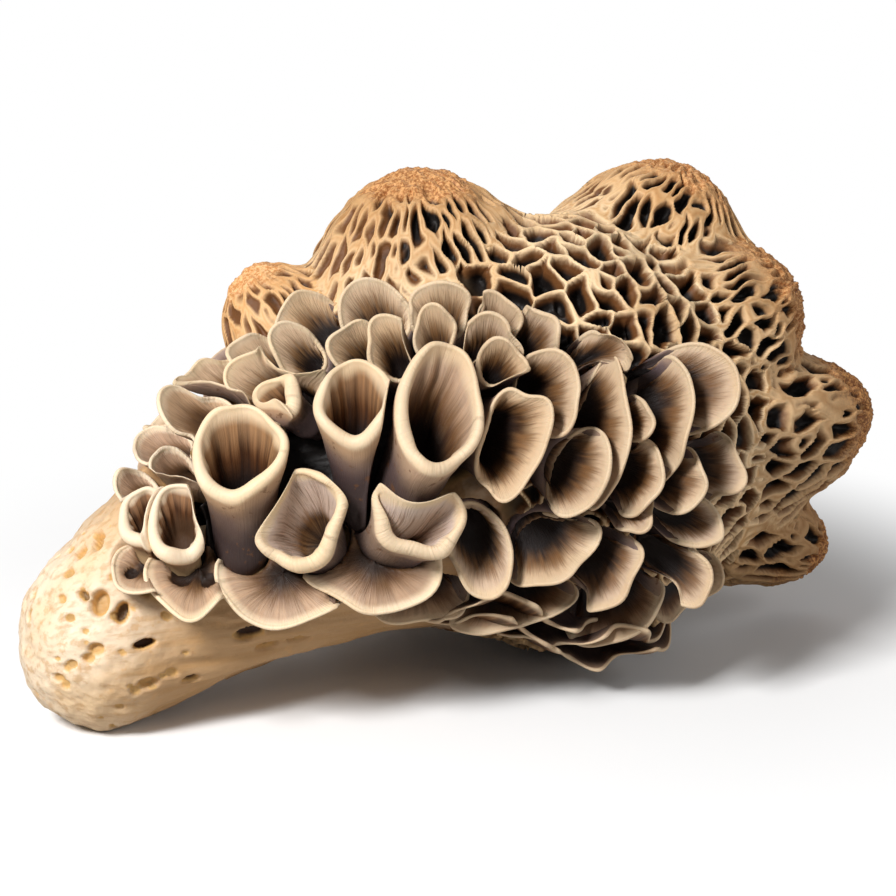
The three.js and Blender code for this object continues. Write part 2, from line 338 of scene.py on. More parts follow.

# %% [markdown]
# ## The skin of stem and caps
#
# A morel's skin is pale on its ridges, warm brown down the pits' walls, ivory on the stem and rough and
# brown on the caps' tips, and the pits' bottoms are painted nearly black as shade. A painted image could
# carry this, but it would
# have to be unwrapped over the whole form. The mesh already knows where a ridge or a pit is, so each
# vertex carries a few values, and the colour follows them.

# %% Skin of stem and caps
def honeycomb_material():
    """Skin of the body and caps: ridges, pits, stem and rough brown tips."""
    g = Graph("morel_skin")
    place = g.place()
    pit, tip, stem, dark, edge = (g.value(name) for name in ("pit", "tip", "stem", "dark", "edge"))
    warm = g.value("warm").clip()
    patch = g.noise(place, 60, 3)
    fine = g.noise(place, 900, 5, 0.65)

    # ridges in straw and tan with cream crests, their own pale edge with a painted highlight over it, and
    # the brown walls between them
    ridge = g.mix(patch.ramp(0.3, 0.7), (0.50, 0.265, 0.095), (0.74, 0.43, 0.195))
    ridge = g.mix(warm, ridge, g.mix(dark, (0.62, 0.30, 0.10), (0.38, 0.19, 0.07)))
    wall = g.mix(patch, (0.10, 0.034, 0.008), (0.20, 0.08, 0.022))
    ridge = g.mix(fine.ramp(0.48, 0.7) * 0.35, ridge, (0.30, 0.13, 0.04))
    # the crests: the ridges' own pale top, brightened by a painted highlight
    crest_and_highlight = g.mix(warm, (0.98, 0.76, 0.48), g.mix(dark, (0.84, 0.54, 0.27), (0.72, 0.45, 0.21)))
    ridge = g.mix((dark - 0.5).clip(), ridge, (0.24, 0.11, 0.036))
    crest_and_highlight = g.mix(((dark - 0.5) * 1.5).clip(), crest_and_highlight, (0.55, 0.32, 0.14))
    ridge = g.mix(edge.ramp(-0.3, 0.0) * (0.75 - warm * 0.2), ridge, crest_and_highlight)
    colour = g.mix((edge + fine * 0.15).ramp(0.0, 0.36), ridge, wall)

    # the caps' tips, brown with pale grains, and the pits' bottoms painted near black as shade; the same
    # value also paints the shade between the cups and in the stem's holes
    brown = g.mix(dark, (0.58, 0.25, 0.08), (0.21, 0.07, 0.017))
    grain = g.noise(place, 1500, 3, 0.7)
    brown = g.mix(grain.ramp(0.42, 0.6), brown, g.mix(dark, (0.84, 0.50, 0.24), (0.62, 0.29, 0.09)))
    colour = g.mix(tip, colour, brown)
    colour = g.mix(pit.ramp(0.2, 0.47), colour, (0.004, 0.0016, 0.0008))

    # the stem, ivory to tan, with long streaks, small spots and holes, golden inside and painted near
    # black as shade in the darker ones
    ivory = g.mix(patch.ramp(0.4, 0.7), (0.84, 0.68, 0.50), (0.78, 0.56, 0.34))
    ivory = g.mix(warm * 0.95, ivory, g.mix(patch, (0.60, 0.37, 0.18), (0.46, 0.26, 0.115)))
    streak = g.noise(g.scaled(place, 60, 700, 700), 1, 3)
    ivory = g.mix(streak.ramp(0.45, 0.7) * 0.6, ivory, (0.50, 0.28, 0.11))
    spot = g.noise(place, 350, 3, 0.6).ramp(0.6, 0.7) * 0.6
    ivory = g.mix(spot, ivory, (0.62, 0.36, 0.16))
    hole_and_shade = g.mix(pit.ramp(0.4, 0.9), (0.66, 0.40, 0.15), (0.04, 0.014, 0.004))
    ivory = g.mix(pit.ramp(0.05, 0.45), ivory, hole_and_shade)
    colour = g.mix(stem, colour, ivory)
    height = fine * 0.5 + streak * 0.5 + g.noise(place, 250, 3) * 0.6
    return g.skin(colour, 0.6 - stem * 0.1, height, 0.5, 0.05)


HONEYCOMB = honeycomb_material()
print("nodes in the skin's graph:", len(HONEYCOMB.node_tree.nodes))

# %% [markdown]
# ## The skin of a cup
#
# A cup runs from a lavender-grey outside over a cream lip into a brown throat, with fine lines that
# follow the tube, and painted shade darkens the outside's foot and the deep throat. Two values place all
# of this: the zone, which runs up the outside and down the inside,
# and the turn round the mouth. Noise read on them, instead of in space, makes lines that bend with the
# tube.

# %% Skin of a cup
def cup_material():
    """Skin of a cup: outside, lip and throat, with lines along the tube, and painted shade at the
    outside's foot and down the throat.
    """
    g = Graph("morel_cup")
    place = g.place()
    zone, turn, tone_and_painted_light, shade, light, amber_and_shade = (
        g.value(name) for name in ("zone", "turn", "tone_and_painted_light", "shade", "light", "amber_and_shade"))
    patch = g.noise(place, 90, 3)
    fine = g.noise(place, 500, 4, 0.6)
    # how far in the painted shade has reached: later on the lilac cups and by the stem end, sooner on
    # amber ones
    deep = zone - (1 - tone_and_painted_light) * 0.14 - (shade - 1).clip() * 0.42 + amber_and_shade * 0.13
    ring = g.node("ShaderNodeCombineXYZ", 0, {
        0: turn.math("COSINE") * 9, 1: turn.math("SINE") * 9, 2: zone * 1.2})
    lines = g.noise(ring, 2.0, 4, 0.62)
    broad = g.noise(ring, 0.7, 3, 0.5)

    # the outside, lavender-grey to tan, warmer under the lip, and painted dark at its foot as shade where
    # it meets the body
    outside = g.mix(patch.ramp(0.35, 0.65), (0.15, 0.097, 0.108), (0.40, 0.265, 0.18))
    outside = g.mix(lines.ramp(0.5, 0.75) * 0.4, outside, (0.16, 0.09, 0.06))
    outside = g.mix(amber_and_shade * zone.ramp(0.5, 0.95) * 0.7, outside, (0.50, 0.32, 0.20))
    near_lip = g.mix(amber_and_shade, (0.52, 0.37, 0.26), (0.60, 0.38, 0.21))
    outside = g.mix(zone.ramp(0.75, 0.96) * 0.5, outside, near_lip)
    # painted shade at the foot, weaker on the paler cups
    foot = g.mix(light, (0.045, 0.028, 0.026), (0.50, 0.33, 0.17))
    outside = g.mix(zone.ramp(1.0, 0.48), outside, foot)

    # the cream lip
    lip = g.mix(tone_and_painted_light, (0.86, 0.65, 0.41), (0.64, 0.46, 0.29))
    pale = g.mix(tone_and_painted_light, (0.84, 0.67, 0.48), (0.72, 0.56, 0.38))
    lip = g.mix(patch.ramp(0.35, 0.65) * 0.6, lip, pale)
    lip = g.mix(light * 0.8, lip, (0.88, 0.72, 0.54))

    # the inside near the lip, paler by the stem end and darker further in on the far side, partly the
    # cups' own tint and partly painted light and shade, with lilac or amber over it and lines that start
    # below the lip
    near = g.mix(tone_and_painted_light, (0.84, 0.57, 0.32), (0.56, 0.39, 0.245))
    near = g.mix(light, near, (0.66, 0.43, 0.28))
    lilac = g.mix((shade - 1).clip(), (0.45, 0.345, 0.305), (0.66, 0.56, 0.54))
    near = g.mix((shade * 0.45).clip(), near, lilac)
    amber = g.mix(broad.ramp(0.35, 0.6), (0.29, 0.125, 0.042), (0.14, 0.052, 0.015))
    near = g.mix(amber_and_shade * 0.8, near, amber)
    near = g.mix(zone.ramp(1.12, 1.34) * tone_and_painted_light * 0.75, near, (0.27, 0.145, 0.062))
    streak = lines.ramp(0.46, 0.66) * zone.ramp(1.05, 1.25) * (0.6 - amber_and_shade * 0.4)
    near = g.mix(streak.clip(), near, g.mix(light, (0.15, 0.07, 0.028), (0.36, 0.21, 0.12)))

    # half way down, darker brown, and the throat painted near black: painted shade deep in the cup
    brown = g.mix(tone_and_painted_light, (0.32, 0.17, 0.07), (0.17, 0.078, 0.028))
    middle = g.mix(broad.ramp(0.35, 0.65), (0.05, 0.02, 0.007), brown)
    middle = g.mix(light, middle, (0.34, 0.19, 0.10))
    umber = g.mix(broad.ramp(0.4, 0.65), (0.12, 0.042, 0.011), (0.045, 0.015, 0.004))
    middle = g.mix(amber_and_shade, middle, umber)
    inside = g.mix((deep + broad * 0.3 - 0.15).ramp(1.12, 1.42), near, middle)
    throat_shade = deep.ramp(1.3, 1.62)
    inside = g.mix(throat_shade, inside, g.mix(light, (0.008, 0.003, 0.002), (0.09, 0.042, 0.018)))

    # put together by the zone
    colour = g.mix(zone.ramp(1.02, 1.14), lip, inside)
    colour = g.mix(zone.ramp(0.99, 0.93), colour, outside)
    speck = fine.ramp(0.6, 0.67) * zone.ramp(1.0, 0.9)
    colour = g.mix(speck * 0.7, colour, (0.14, 0.06, 0.025))
    height = lines * (0.9 - amber_and_shade * 0.5) + fine * 0.3
    return g.skin(colour, 0.5, height, 0.6, 0.06)


CUP = cup_material()
print("nodes in the cups' graph:", len(CUP.node_tree.nodes))
print("materials:", [m.name for m in bpy.data.materials])

# %% [markdown]
# ## The body and caps as one swollen form
#
# On the mushroom the caps grow out of the head without a seam. Separate forms would meet in sharp
# creases, and a Boolean modifier keeps those creases. So the body and each cap is a *field*: a number
# that is 0 on its skin, negative inside and about the distance to it outside. Fields are joined softly
# with `-soft * log(sum(exp(-field / soft)))`, which fills the angle between a cap and the body.

# %% Fields of the body
def body_rows(count):
    """The body's sections along its length: a Catmull-Rom curve through the rows."""
    t = np.linspace(0, len(BODY) - 1 - 1e-6, count)
    i = t.astype(int)
    f = (t - i)[:, None]
    p0, p1, p2, p3 = (BODY[np.clip(i + n, 0, len(BODY) - 1)] for n in (-1, 0, 1, 2))
    rows = 0.5 * (2 * p1 + (p2 - p0) * f + (2 * p0 - 5 * p1 + 4 * p2 - p3) * f**2
                  + (3 * p1 - p0 - 3 * p2 + p3) * f**3)
    rows[:, 2:] = np.maximum(rows[:, 2:], 0)
    return rows


SECTIONS = body_rows(4000)
SLOPE = np.gradient(SECTIONS[:, 2], SECTIONS[:, 0] + np.arange(4000) * 1e-9)


def section(x):
    """Centre height, radius, extra height and slope of the body at stations x."""
    columns = (SECTIONS[:, 1], SECTIONS[:, 2], SECTIONS[:, 3], SLOPE)
    return [np.interp(x, SECTIONS[:, 0], column) for column in columns]


def skin(x, angle, lift=0):
    """A point of the body at a station and an angle (0 near side, 90 top), lifted off the skin."""
    z, r, top, _ = section(x)
    up = np.sin(np.radians(angle))
    y = -(r + lift) * np.cos(np.radians(angle))
    return np.stack(np.broadcast_arrays(x * 1.0, y, z + (r + lift + top * np.maximum(up, 0)) * up), -1)


def body_field(p):
    """Distance from the axis less the section's radius that way, over the slope's length."""
    z, r, top, slope = section(p[..., 0])
    far = np.hypot(p[..., 1], p[..., 2] - z) + 1e-9
    up = (p[..., 2] - z) / far
    reach = np.hypot(r * np.sqrt(np.maximum(1 - up**2, 0)), (r + top * np.maximum(up, 0)) * up)
    over = np.maximum(np.maximum(p[..., 0] - BODY[-1, 0], BODY[0, 0] - p[..., 0]), 0)
    return np.hypot((far - reach) / np.sqrt(1 + np.minimum(np.abs(slope), 2.5)**2), over) * np.where(
        (far > reach) | (over > 0), 1, -1)


print("the body's radius at -60, 0 and 40:", section(np.array([-60, 0, 40]))[1].round(1).tolist())

# %% Fields of the caps
def cap_axes(cap):
    """Foot, axis, height and two side directions of a cap."""
    foot = np.array(cap[0], float)
    axis = np.array(cap[1], float) - foot
    height = np.linalg.norm(axis)
    axis = axis / height
    side = unit(np.cross([0.1, 1, 0], axis))
    return foot, axis, height, side, np.cross(axis, side)


def cap_field(cap, p):
    """A spheroid: k0*(k0 - 1)/k1 with k0 the point over the half axes and k1 over their squares."""
    foot, axis, height, _, _ = cap_axes(cap)
    along = (p - foot) @ axis
    out = np.linalg.norm(p - foot - along[..., None] * axis, axis=-1)
    k0 = np.hypot(out / cap[2], along / height)
    k1 = np.hypot(out / cap[2]**2, along / height**2)
    return k0 * (k0 - 1) / (k1 + 1e-9)


trial = cap_field(CAPS[1], np.array(CAPS[1][1], float) + [[0, 0, 0], [0, 0, 5]])
print("the second cap's field at its tip and 5 mm over it:", (trial.round(1) + 0).tolist())

# %% [markdown]
# The joined form is reached by walking each point of a part out along its own normal until the joined
# field is 0. Both of two neighbours do this, so their skins meet where they cross. Each then learns how
# far under the other it lies, and sinks there, which leaves one skin on the outside.

# %% The joined form
SOFT = 2.3  # mm over which two skins flow together
PARTS = [body_field] + [lambda p, cap=cap: cap_field(cap, p) for cap in CAPS]


def all_fields(p):
    """Every field at points p, one row each."""
    return np.stack([field(p) for field in PARTS])


def joined(fields):
    """The soft union of rows of fields."""
    low = fields.min(0)
    return low - SOFT * np.log(np.exp(-(fields - low) / SOFT).sum(0))


def swell(points, normals, own):
    """A part's points on the joined form, and how far under another part each one lies, 0..1."""
    out = np.zeros(points.shape[:-1])
    for _ in range(14):
        value = joined(all_fields(points + normals * out[..., None]))
        out = np.clip(out - value, 0, 9)
    fields = all_fields(points + normals * out[..., None])
    mine = fields[own].copy()
    fields[own] = 99
    return points + normals * out[..., None], step(1.0, 4.5, mine - fields.min(0))


print("fields:", len(PARTS))

# %% [markdown]
# ## Honeycomb pits
#
# The pits are dents packed side by side, and the thin ridges are what is left between them. A texture
# that displaces the skin is quick, but gives round cells of one size. Here each pit has a seed. A point
# belongs to the nearest seed, and the difference between its distances to the nearest two seeds says
# how far it is from the ridge between them. Distances are shortened along each seed's own direction,
# which makes long pits, and divided by its size. Every piece reads the same seeds, so a pit that two
# pieces share has the same shape on both.

# %% Seeds on the caps
rng = np.random.default_rng(7)


def cap_seeds(cap):
    """Seeds of a cap: x, y, z, the direction down the cap, stretch and size. They lie on rings of the
    spheroid, small and close near the tip, longer and larger down the sides."""
    foot, axis, height, side, other = cap_axes(cap)
    seeds = []
    polar, ring = 0.17, 0
    size = 1.7
    while polar < 2.2:
        count = max(5, round(2 * math.pi * cap[2] * math.sin(polar) / (size * 0.92)))
        turn = (np.arange(count) + 0.5 * (ring % 2) + rng.uniform(-0.32, 0.32, count)) / count * 2 * np.pi
        p = polar + rng.uniform(-0.7, 0.7, count) * size / cap[2]
        out = side * np.cos(turn)[:, None] + other * np.sin(turn)[:, None]
        place = foot + axis * (height * np.cos(p))[:, None] + out * (cap[2] * np.sin(p))[:, None]
        down = -axis * (height * np.sin(p))[:, None] + out * (cap[2] * np.cos(p))[:, None]
        long = 4.0 - 1.6 * min(polar / 1.5, 1)
        stretch = np.full((count, 1), long) * rng.uniform(0.75, 1.5, (count, 1))
        sizes = size * rng.uniform(0.65, 1.35, (count, 1))
        seeds.append(np.hstack([place, unit(down), stretch, sizes]))
        polar += size * long * 0.98 / (0.5 * (cap[2] + height))
        size = min(size * 1.17, 3.4)
        ring += 1
    return np.concatenate(seeds)

# %% Seeds on the body
def flow(p):
    """Direction away from the tips of the nearby caps, each counted less the farther it is."""
    away = p[:, None] - np.array([cap[1] for cap in CAPS], float)
    far = np.linalg.norm(away, axis=-1, keepdims=True)
    return unit(np.sum(away / far * np.exp(-far / 12), axis=1))


def body_seeds(spacing=5.6):
    """Seeds over the whole body, on rings a spacing apart, each long in the direction of the flow."""
    seeds = []
    for ring, x in enumerate(np.arange(-14, 66, spacing * 0.87)):
        _, r, top, _ = section(x)
        count = max(4, round(2 * math.pi * (r + top / 2) / spacing))
        angle = (np.arange(count) + 0.5 * (ring % 2) + rng.uniform(-0.3, 0.3, count)) / count * 360
        place = skin(x + rng.uniform(-0.3, 0.3, count) * spacing, angle)
        heading = flow(place) + 0.3 * rng.normal(size=(count, 3))
        stretch = rng.uniform(1.1, 2.6, (count, 1))
        sizes = spacing * rng.uniform(0.62, 1.25, (count, 1))
        seeds.append(np.hstack([place, unit(heading), stretch, sizes]))
    return np.concatenate(seeds)


def keep_outer(seeds, own):
    """Seeds that don't lie under another part's skin."""
    fields = all_fields(seeds[:, :3])
    fields[own] = 9
    return seeds[fields.min(0) > -1.6]


SEEDS = np.concatenate([keep_outer(body_seeds(), 0)] + [
    keep_outer(cap_seeds(cap), n + 1) for n, cap in enumerate(CAPS)]).astype(np.float32)
print("pit seeds:", len(SEEDS))

# %% The nearest two seeds
def nearest_two(p):
    """Distances over size from points p (n, 3) to the nearest seed and the next, and the nearest
    one's size and how far along it the point lies. Points are taken in blocks, to save memory."""
    first = np.empty(len(p), np.float32)
    second, size, lead = first.copy(), first.copy(), np.zeros(len(p), np.float32)
    for start in range(0, len(p), 256):
        block = p[start:start + 256].astype(np.float32)
        low, high = block.min(0) - 9, block.max(0) + 9
        near = SEEDS[np.all((SEEDS[:, :3] > low) & (SEEDS[:, :3] < high), axis=1)]
        if len(near) < 2:
            first[start:start + 256], second[start:start + 256], size[start:start + 256] = 0, 9, 5
            continue
        away = block[:, None] - near[None, :, :3]
        along = np.einsum("ijk,jk->ij", away, near[:, 3:6])
        squared = np.einsum("ijk,ijk->ij", away, away) - (1 - 1 / near[:, 6]**2) * along**2
        distance = np.sqrt(np.maximum(squared, 0)) / near[:, 7]
        order = np.argpartition(distance, 1, axis=1)[:, :2]
        two = np.take_along_axis(distance, order, 1)
        best = np.argmin(two, 1)
        rows = np.arange(len(block))
        first[start:start + 256] = two[rows, best]
        second[start:start + 256] = two[rows, 1 - best]
        mine = order[rows, best]
        size[start:start + 256] = near[mine, 7]
        lead[start:start + 256] = along[rows, mine] / (near[mine, 6] * near[mine, 7])
    return first, second, size, lead

# %% Depth of the pits
def honeycomb(grid, thick, deep):
    """Depth in mm, share of a pit's depth and distance to the ridge, for ridges of half width thick.
    The distance to the ridge is half the difference of the two seed distances. A pit is a steep wall
    beyond the ridge plus a bowl, crossed by small folds and deeper at its upper end. Its depth is
    6*tanh(pit), so that large pits don't break through."""
    p = grid.reshape(-1, 3)
    warp = np.stack([noise(p, 5.2, s) for s in (11, 12, 13)], -1) + 0.5 * np.stack(
        [noise(p, 2.1, s) for s in (14, 15, 16)], -1)
    first, second, size, lead = nearest_two(p + 1.15 * warp)
    edge = (second - first) * size / 2
    thick = np.broadcast_to(thick, grid.shape[:2]).reshape(-1) * (1 + 0.5 * noise(p, 3, 17))
    deep = np.broadcast_to(deep, grid.shape[:2]).reshape(-1) * (1 + 0.2 * noise(p, 6, 19))
    wall = step(thick, thick + (0.13 + 0.07 * noise(p, 4, 20)) * size, edge)
    pit = (0.6 * wall + 0.4 * step(0.08, 0.36, edge / size)) * np.clip(deep, 0.2, 1.15)
    fold = step(0.22, 0.0, np.abs(noise(p, 3.4, 23))) * wall * step(0.1, 0.5, noise(p, 9, 24) + 0.35)
    pit = pit * np.clip(1 - 0.5 * lead, 0.7, 1.2)
    depth = 6 * np.tanh(pit * size * (0.2 - 0.09 * fold)) - 0.7 * noise(p, 5, 18) * (1 - wall)
    pit = pit * (1 - 0.35 * fold)
    return [values.reshape(grid.shape[:2]) for values in (depth, pit, edge - thick)]


trial = honeycomb(np.array(CAPS[2][1], float) + np.zeros((1, 1, 3)), 0.2, 1)
print("depth, pit and edge at the third cap's tip:", [round(float(value[0, 0]), 2) for value in trial])

# %% [markdown]
# ## The plan of the cups
#
# Each open cup is a bent tube that widens to its mouth. There are three kinds: tall trumpets with thick
# lips, scales that overlap in rows, and shallow petals that hang down over the stem. A scatter over the
# skin could place them, but their rows are the mushroom's character, so each has its own station and
# angle round the body (0 near side, 90 top). Scales need no more than sizes, because they all turn to
# face one middle.

# %% The trumpets
# Trumpets: station, angle, half width across, half width along, turn of the long axis, lean of the
# mouth away from the root, lift off the skin, depth, direction of the root, share of amber inside, which
# also makes the painted throat shade begin sooner.
TRUMPETS = [
    (-46, 53, 7.0, 8.4, 60, 12, 8.5, 17, -118, 1),
    (-39, 24, 6.4, 8.6, 50, 6, 6.5, 12, -60, 0),
    (-28, 45, 6.0, 7.2, 80, 16, 9, 18, -112, 1),
    (-16, 33, 6.6, 11.0, 62, 14, 9, 19, -140, 0.4),
    (-21, 9, 7.6, 6.2, 35, 6, 7, 14, -140, 0),
    (-37.5, 62, 3.4, 3.6, 60, 8, 5.5, 8, -60, 1),
    (-60.5, 62, 3.6, 4.8, 75, 2, 3.5, 7, -100, 1),
    (-56, 50, 4.4, 6.2, 75, 2, 4, 8, -100, 1),
]
DENTED = (-39, 24)  # station and angle of the one whose lip is pressed in on one side
print("trumpets:", len(TRUMPETS), "with depths in mm:", [row[7] for row in TRUMPETS])

# %% The scales
# Scales: station, angle, half width across, half width along, lift, depth. They face the middle.
SCALES = [
    # round the stem
    (-48, 78, 7.4, 6.2, 4.5, 10),
    (-54, 66, 5.6, 5, 3.5, 8),
    (-53, 96, 6.4, 5, 1.5, 8),
    (-59, 82, 5.2, 4, 0.8, 6),
    (-37, 68, 7.6, 7.6, 5, 11),
    (-42, 96, 7.2, 5.6, 3.2, 10),
    (-48, 112, 6, 4.8, 1, 8),
    # top rows
    (-31, 78, 4.8, 4.6, 4, 9),
    (-36, 87, 5.2, 4.8, 4, 9),
    (-34, 108, 6, 5, 4, 9),
    (-24, 63, 4.4, 4, 5, 9),
    (-18, 74, 6, 5.6, 4, 9),
    (-26, 89, 6, 5, 4, 9),
    (-9, 63, 5.4, 4.4, 4, 9),
    (-2, 53, 4.8, 3.8, 4, 9),
    (-19, 57, 4.4, 5, 5, 9),
    (-12, 55, 3.8, 4, 5, 9),
    (-5, 46, 4.6, 4.6, 5, 9),
    (-4, 38, 4, 4.6, 5.5, 9),
    (3, 45, 4.6, 4.4, 4, 9),
    (11, 35, 5.6, 5.4, 5, 10),
    # the near side of the head
    (-5, 19, 9.6, 5.4, 6.5, 13),
    (5, 11, 7.8, 5, 6, 12),
    (2, 30, 7.2, 5.8, 6, 12),
    (10, 20, 12, 5.4, 4.5, 11),
    (16, 22, 3.8, 3.4, 5, 7),
    (21, 22, 9.2, 5.6, 4.5, 11),
    (26, 28, 8, 8.6, 4.5, 11),
    (31, 9, 6, 4.4, 4, 9),
    (22, 8, 5.8, 4.8, 5, 9),
    (15, 9, 6.2, 4.4, 5, 9),
    (14, 1, 3.4, 3.6, 5, 8),
    (25, -2, 3.8, 6.6, 4, 9),
    (1, -10, 7.6, 5.8, 4.5, 10),
    (-10, -10, 5.6, 7, 4.5, 10),
    (10, -15, 8, 5.2, 4.5, 10),
    (23, -14, 5, 6.8, 4, 9),
    # under the belly
    (15, -30, 9.5, 4.4, 2.5, 9),
    (-2, -31, 10, 4, 3, 8),
    (-18, -27, 9.5, 4, 2, 8),
    (30, -28, 7, 4, 0.8, 8),
    # the hidden underside and back
    (-46, 150, 6, 5.4, 3.5, 8),
    (-34, 136, 6.4, 5.6, 4, 9),
    (-36, 166, 6.4, 5.8, 4, 9),
    (-48, 182, 6, 5, 3, 7),
    (-38, 200, 6, 5.6, 3, 8),
    (-24, 184, 6.8, 6.4, 4, 9),
    (-24, 212, 6.4, 6, 3.5, 8),
    (-9, 192, 7, 6.6, 4, 9),
    (-10, 218, 6.8, 6, 3.5, 8),
    (5, 208, 6.8, 6, 4, 9),
    (20, 214, 6.6, 6, 4, 9),
    (22, 192, 6.8, 6, 4, 9),
    (36, 204, 6.4, 5.6, 3.5, 8),
]
NEAR_MIDDLE = (-16, 30)    # the station and angle that the near cups face
BACK_MIDDLE = (-8, 195)    # and those on the back
LEAN, MOST_LEAN = 0.9, 34  # degrees of lean for each mm from the middle, and the most
print("scales on the near side:", sum(row[1] < 130 for row in SCALES), "of", len(SCALES))

# %% The petals
# Petals: shallow cups that hang down: station, angle, half widths, turn, lift, depth.
PETALS = [
    (-62, 44, 5.4, 6.4, -105, 1.6, 4),
    (-54, 30, 7.6, 9, -100, 2.4, 5),
    (-41, 8, 11, 8.6, -85, 3.2, 5.5),
    (-27, -3, 10.6, 8.6, -85, 4, 6),
]
PETAL_HOLES = {-62: [(0.2, 0.5)], -54: [(2.5, 0.6), (0.3, 0.6)]}  # turn and share of the way in
TRUMPET, SCALE, PETAL = range(3)
print("cups planned:", len(TRUMPETS), "trumpets,", len(SCALES), "scales,", len(PETALS), "petals")

# %% [markdown]
# ## The cups' frames
#
# A cup's tube follows a bent path, a Bezier curve from its root inside the body, past a bend, to its
# mouth. The body's skin needs these paths before the cups are made, because it has to sink out of their
# hollows.

# %% Cup frames
def cup_frame(style, row):
    """Mouth, root and bend of a cup's tube, its facing direction and its mouth's wide and tall axes."""
    x, angle, across, along = row[:4]
    middle = NEAR_MIDDLE if angle < 130 else BACK_MIDDLE
    away = x - middle[0], math.radians(angle - middle[1]) * section((x + middle[0]) / 2)[1]
    far = math.hypot(*away)
    # cups near the stem also get less painted shade at the foot and in the throat
    pale = 0.8 * float(step(-38, -56, x))  # cups near the stem are paler inside
    if style == TRUMPET:
        turn, lean, lift, depth, start, amber_and_shade = row[4:]
        lean, shift, down = -lean, 0.95, 0.85 * depth
        light = pale if depth < 9 else 0
        rank, drop = -2 * depth, 0
    else:
        turn = row[4] if style == PETAL else math.degrees(math.atan2(away[1], away[0]))
        lift, depth = row[-2:]
        # amber inside; on the petals and the cups under the belly it also darkens them as painted shade
        amber_and_shade = 0.5 if style == PETAL or angle < -20 else 0.35 * float(step(-35, -50, x))
        light = 0.18 if style == PETAL else pale
        lean, start, shift, down = min(LEAN * far, MOST_LEAN), turn + 180, 0.8, depth + 3
        rank, drop = far, 0.6 * depth * float(step(-46, -20, x) * step(8, 34, far))
    mouth = skin(x, angle, lift)
    forward = unit(skin(x + 0.5, angle) - skin(x - 0.5, angle))
    around = unit(skin(x, angle + 1) - skin(x, angle - 1))
    out = unit(np.cross(forward, around))

    def heading(degrees):
        return forward * math.cos(math.radians(degrees)) + around * math.sin(math.radians(degrees))

    facing = out * math.cos(math.radians(lean)) + heading(start) * math.sin(math.radians(lean))
    wide = unit(np.cross(heading(turn), facing))
    tall = np.cross(facing, wide)
    root = mouth - out * down + heading(start) * shift * depth
    bend = mouth - facing * 0.55 * depth + heading(start) * shift * 0.4 * depth
    side = root - mouth
    return {
        "style": style, "station": x, "angle": angle, "across": across, "along": along, "depth": depth,
        "mouth": mouth, "root": root, "bend": bend, "facing": facing, "wide": wide, "tall": tall,
        "narrow": (0.66, 0.5, 0.6)[style],  # the tube's width at its root over that at its mouth
        "lower": math.atan2(side @ tall, side @ wide),  # turn of the side where the root lies
        "rank": rank,  # who gives way: of two cups that meet, the one with the higher rank
        "drop": drop,  # mm by which the lower lip hangs
        "dent": 0.2 if row[:2] == DENTED else 0,
        # towards the crown the cups turn darker inside: partly their own tint, partly painted light on the
        # lamp's side and painted shade on the far side
        "tone_and_painted_light": float(step(-60, 15, x)), "light": light, "amber_and_shade": amber_and_shade,
    }


FRAMES = [cup_frame(style, row)
          for style, rows in enumerate((TRUMPETS, SCALES, PETALS)) for row in rows]
FRAMES = [f for f in FRAMES if min(cap_field(cap, f["mouth"]) for cap in CAPS) > 1]  # none inside a cap
print("cups clear of the caps:", len(FRAMES))

# %% Room for the cups
def tube_path(f, t):
    """The tube's middle line, a quadratic Bezier curve, at shares t of the way to the mouth."""
    t = t[..., None]
    return (1 - t)**2 * f["root"] + 2 * t * (1 - t) * f["bend"] + t**2 * f["mouth"]


def in_cup(f, p):
    """Where points lie in a cup: height over the mouth, offset from the tube, and share of its width."""
    height = (p - f["mouth"]) @ f["facing"]
    t = np.clip(1 + height / f["depth"], 0, 1)
    side = p - tube_path(f, t)
    side = side - (side @ f["facing"])[..., None] * f["facing"]
    grow = f["narrow"] + (1 - f["narrow"]) * t**1.5
    share = np.hypot(side @ f["wide"] / (f["across"] * grow + 0.8),
                     side @ f["tall"] / (f["along"] * grow + 0.8))
    return height, side, share


def hollowed(p):
    """How far the body is sunk at points p, in mm: a valley round the trumpets, and each cup's hollow."""
    z = section(p[..., 0])[0]
    angle = np.degrees(np.arctan2(p[..., 2] - z, -p[..., 1]))
    sink = 4.5 * step(1.3, 0.8, np.hypot((p[..., 0] + 22) / 21, (angle - 36) / 34))
    for f in FRAMES:
        height, _, share = in_cup(f, p)
        room, most = (0.3, 3) if f["style"] == PETAL else (0.75, 9)
        floor = np.clip(room * f["depth"] + height + 1.5, 0, most)
        sink = np.maximum(sink, floor * step(1.05, 0.8, share) * step(3, 0.5, height))
    return sink


print("sunk at the first trumpet's mouth, mm:", round(float(hollowed(FRAMES[0]["mouth"])), 1))

# %% [markdown]
# ## Holes in the stem
#
# The stem end is pocked with small holes, the larger ones painted dark as the shade inside them. Cutting
# them with Booleans would leave sharp rims, so each one is a soft dent: a smooth step of the distance from
# its centre, measured as an ellipse. The large ones are placed one by one and the small ones at random.

